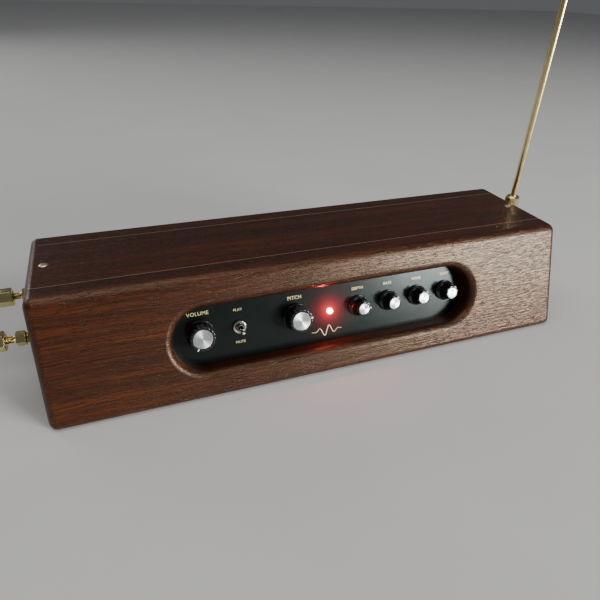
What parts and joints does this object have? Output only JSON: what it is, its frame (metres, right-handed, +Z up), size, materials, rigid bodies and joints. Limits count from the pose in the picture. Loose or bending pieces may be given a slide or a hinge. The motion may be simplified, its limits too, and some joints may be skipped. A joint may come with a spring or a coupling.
{
  "type": "theremin",
  "caption": "Slant-front wooden theremin with a recessed control panel, rotary knobs, a toggle switch, an upright brass pitch rod and a brass volume loop.",
  "frame": {"origin": "centre of the cabinet's flat underside, on the wood just ahead of the stand socket", "axes": "+X towards the player's right, where the pitch rod is; +Y towards the back; +Z up"},
  "size_m": [0.7197, 0.1435, 0.5545],
  "materials": {
    "sapele": "reddish-brown quarter-sawn sapele with a fine ribbon grain, semi-gloss lacquer",
    "panel": "satin black",
    "knob": "moulded black, glossy",
    "aluminium": "spun, with fine circular lines",
    "brass": "polished, a little dulled",
    "screw_brass": "plated wood screw, dulled",
    "nickel": "bright nickel plate",
    "steel": "zinc plate",
    "lamp": "clear red moulding, lit",
    "black_plastic": "moulded, matt",
    "laminate": "green board laminate",
    "copper": "enamelled copper winding",
    "lead_sleeve": "red insulation",
    "gold_print": "gold screen print"
  },
  "bodies": {
    "cabinet": {"front_board": "sapele", "back_board": "sapele", "left_end_board": "sapele", "right_end_board": "sapele", "top_lid": "sapele", "bottom_board": "sapele", "lid_screw_left": "screw_brass", "lid_screw_right": "screw_brass", "control_panel": "panel", "toggle_body": "black_plastic", "toggle_nut": "nickel", "indicator_lamp": "lamp", "lamp_holder": "black_plastic", "rod_nut": "brass", "pitch_elbow": "brass", "elbow_locknut": "brass", "loop_nut_front": "brass", "loop_nut_back": "brass", "loop_fitting_front": "brass", "loop_fitting_back": "brass", "loop_locknut_front": "brass", "loop_locknut_back": "brass", "stand_flange": "steel", "circuit_board": "laminate", "oscillator_can": "aluminium", "rear_plate": "panel", "output_jack": "nickel", "output_jack_nut": "nickel", "power_inlet": "black_plastic", "pitch_coil": "copper", "volume_coil": "copper", "pitch_lead": "lead_sleeve", "volume_lead": "lead_sleeve", "volume_potentiometer": "steel", "pitch_potentiometer": "steel", "depth_potentiometer": "steel", "rate_potentiometer": "steel", "wave_potentiometer": "steel", "tone_potentiometer": "steel"},
    "volume_control": {"volume_knob": "knob", "volume_knob_cap": "aluminium", "volume_shaft": "aluminium"},
    "pitch_control": {"pitch_knob": "knob", "pitch_knob_cap": "aluminium", "pitch_shaft": "aluminium"},
    "depth_control": {"depth_knob": "knob", "depth_knob_cap": "aluminium", "depth_shaft": "aluminium"},
    "rate_control": {"rate_knob": "knob", "rate_knob_cap": "aluminium", "rate_shaft": "aluminium"},
    "wave_control": {"wave_knob": "knob", "wave_knob_cap": "aluminium", "wave_shaft": "aluminium"},
    "tone_control": {"tone_knob": "knob", "tone_knob_cap": "aluminium", "tone_shaft": "aluminium"},
    "toggle": {"toggle_lever": "nickel"},
    "rod": {"pitch_rod": "brass"},
    "loop": {"volume_loop": "brass"}
  },
  "joints": [
    {"name": "volume_turn", "type": "hinge", "parent": "cabinet", "child": "volume_control", "pos_m": [-0.1113, -0.03631, 0.04237], "axis": [0, 0.9563, -0.2924], "range_deg": [0, 300]},
    {"name": "pitch_turn", "type": "hinge", "parent": "cabinet", "child": "pitch_control", "pos_m": [-0.0304, -0.03631, 0.04237], "axis": [0, 0.9563, -0.2924], "range_deg": [-231, 69]},
    {"name": "depth_turn", "type": "hinge", "parent": "cabinet", "child": "depth_control", "pos_m": [0.0276, -0.03631, 0.04237], "axis": [0, 0.9563, -0.2924], "range_deg": [-240, 60]},
    {"name": "rate_turn", "type": "hinge", "parent": "cabinet", "child": "rate_control", "pos_m": [0.0571, -0.03631, 0.04237], "axis": [0, 0.9563, -0.2924], "range_deg": [-185, 115]},
    {"name": "wave_turn", "type": "hinge", "parent": "cabinet", "child": "wave_control", "pos_m": [0.0866, -0.03631, 0.04237], "axis": [0, 0.9563, -0.2924], "range_deg": [-185, 115]},
    {"name": "tone_turn", "type": "hinge", "parent": "cabinet", "child": "tone_control", "pos_m": [0.1161, -0.03631, 0.04237], "axis": [0, 0.9563, -0.2924], "range_deg": [-185, 115]},
    {"name": "toggle_flip", "type": "hinge", "parent": "cabinet", "child": "toggle", "pos_m": [-0.0792, -0.03994, 0.04348], "axis": [-1, 0, 0], "range_deg": [0, 26]},
    {"name": "rod_draw", "type": "slide", "parent": "cabinet", "child": "rod", "axis": [0, 0, 1], "range_m": [0, 0.03]},
    {"name": "loop_draw", "type": "slide", "parent": "cabinet", "child": "loop", "axis": [-1, 0, 0], "range_m": [0, 0.03]}
  ]
}
